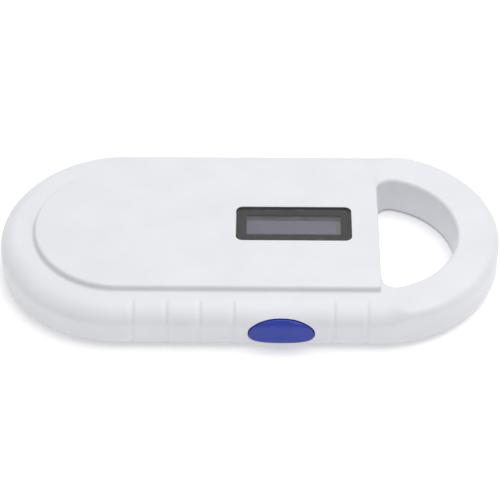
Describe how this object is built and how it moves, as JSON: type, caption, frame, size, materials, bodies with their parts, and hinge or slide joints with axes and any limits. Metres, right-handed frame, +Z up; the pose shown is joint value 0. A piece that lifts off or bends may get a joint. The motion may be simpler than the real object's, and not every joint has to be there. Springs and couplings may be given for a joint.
{
  "type": "microchip scanner",
  "caption": "Flat handheld animal microchip scanner: stadium body with a D-shaped ring antenna, small display, side push button and grip grooves.",
  "frame": {"origin": "centre of the overall box's base, on the surface that the scanner lies on", "axes": "+X along the body towards the ring, -Y out of the side with the button, +Z up out of the display"},
  "size_m": [0.158, 0.0785, 0.0157],
  "materials": {
    "shell": "cool white ABS, fine satin moulding",
    "rear_shell": "cool white ABS, fine satin moulding",
    "button": "royal blue ABS, satin",
    "lens": "clear acrylic, polished",
    "mask": "dark grey printed and glued border",
    "display_glass": "unlit grey OLED glass",
    "foam": "closed-cell foam",
    "flex": "amber polyimide film",
    "board": "green solder mask on glass-epoxy",
    "chip": "black moulding resin",
    "can": "plated metal can",
    "ferrite": "sintered ferrite",
    "film": "dipped film capacitor",
    "tantalum": "moulded tantalum capacitor",
    "winding": "enamelled copper wire, bonded",
    "enamel": "enamelled copper wire",
    "pouch": "aluminium-laminate pouch",
    "red_wire": "silicone insulation",
    "black_wire": "silicone insulation",
    "nylon": "natural nylon",
    "plated_steel": "nickel-plated steel",
    "socket_resin": "black glass-filled resin",
    "buzzer_case": "black buzzer case",
    "screw_steel": "blackened steel",
    "label": "blank film label"
  },
  "bodies": {
    "housing": {"front_cover": "shell", "rear_cover": "rear_shell", "display_lens": "lens", "lens_mask": "mask", "display_panel": "display_glass", "display_foam": "foam", "display_flex": "flex", "main_board": "board", "controller_chip": "chip", "reader_chip": "chip", "charger_chip": "chip", "voltage_regulator": "chip", "crystal": "can", "power_inductor": "ferrite", "tuning_capacitor": "film", "supply_capacitor_1": "tantalum", "supply_capacitor_2": "tantalum", "antenna_coil": "winding", "antenna_lead_1": "enamel", "antenna_lead_2": "enamel", "battery_cell": "pouch", "battery_circuit": "board", "battery_pad_lower": "foam", "battery_pad_upper": "foam", "battery_lead_red": "red_wire", "battery_lead_black": "black_wire", "battery_plug": "nylon", "battery_header": "nylon", "usb_shell": "plated_steel", "usb_tongue": "socket_resin", "buzzer": "buzzer_case", "switch_body": "socket_resin", "switch_frame": "plated_steel", "cover_screw_1": "screw_steel", "cover_screw_2": "screw_steel", "cover_screw_3": "screw_steel", "cover_screw_4": "screw_steel", "cover_screw_5": "screw_steel", "cover_screw_6": "screw_steel", "board_screw_1": "plated_steel", "board_screw_2": "plated_steel", "board_screw_3": "plated_steel", "board_screw_4": "plated_steel", "rear_label": "label"},
    "button": {"side_button": "button"},
    "plunger": {"switch_plunger": "nylon"}
  },
  "joints": [
    {"name": "button_press", "type": "slide", "parent": "housing", "child": "button", "axis": [0, 1, 0], "range_m": [0, 0.0006], "stiffness_N_per_m": 1500},
    {"name": "switch_travel", "type": "slide", "parent": "housing", "child": "plunger", "axis": [0, 1, 0], "range_m": [0, 0.0006]}
  ],
  "couplings": [
    {"joint": "switch_travel", "follows": "button_press", "ratio": 1}
  ]
}
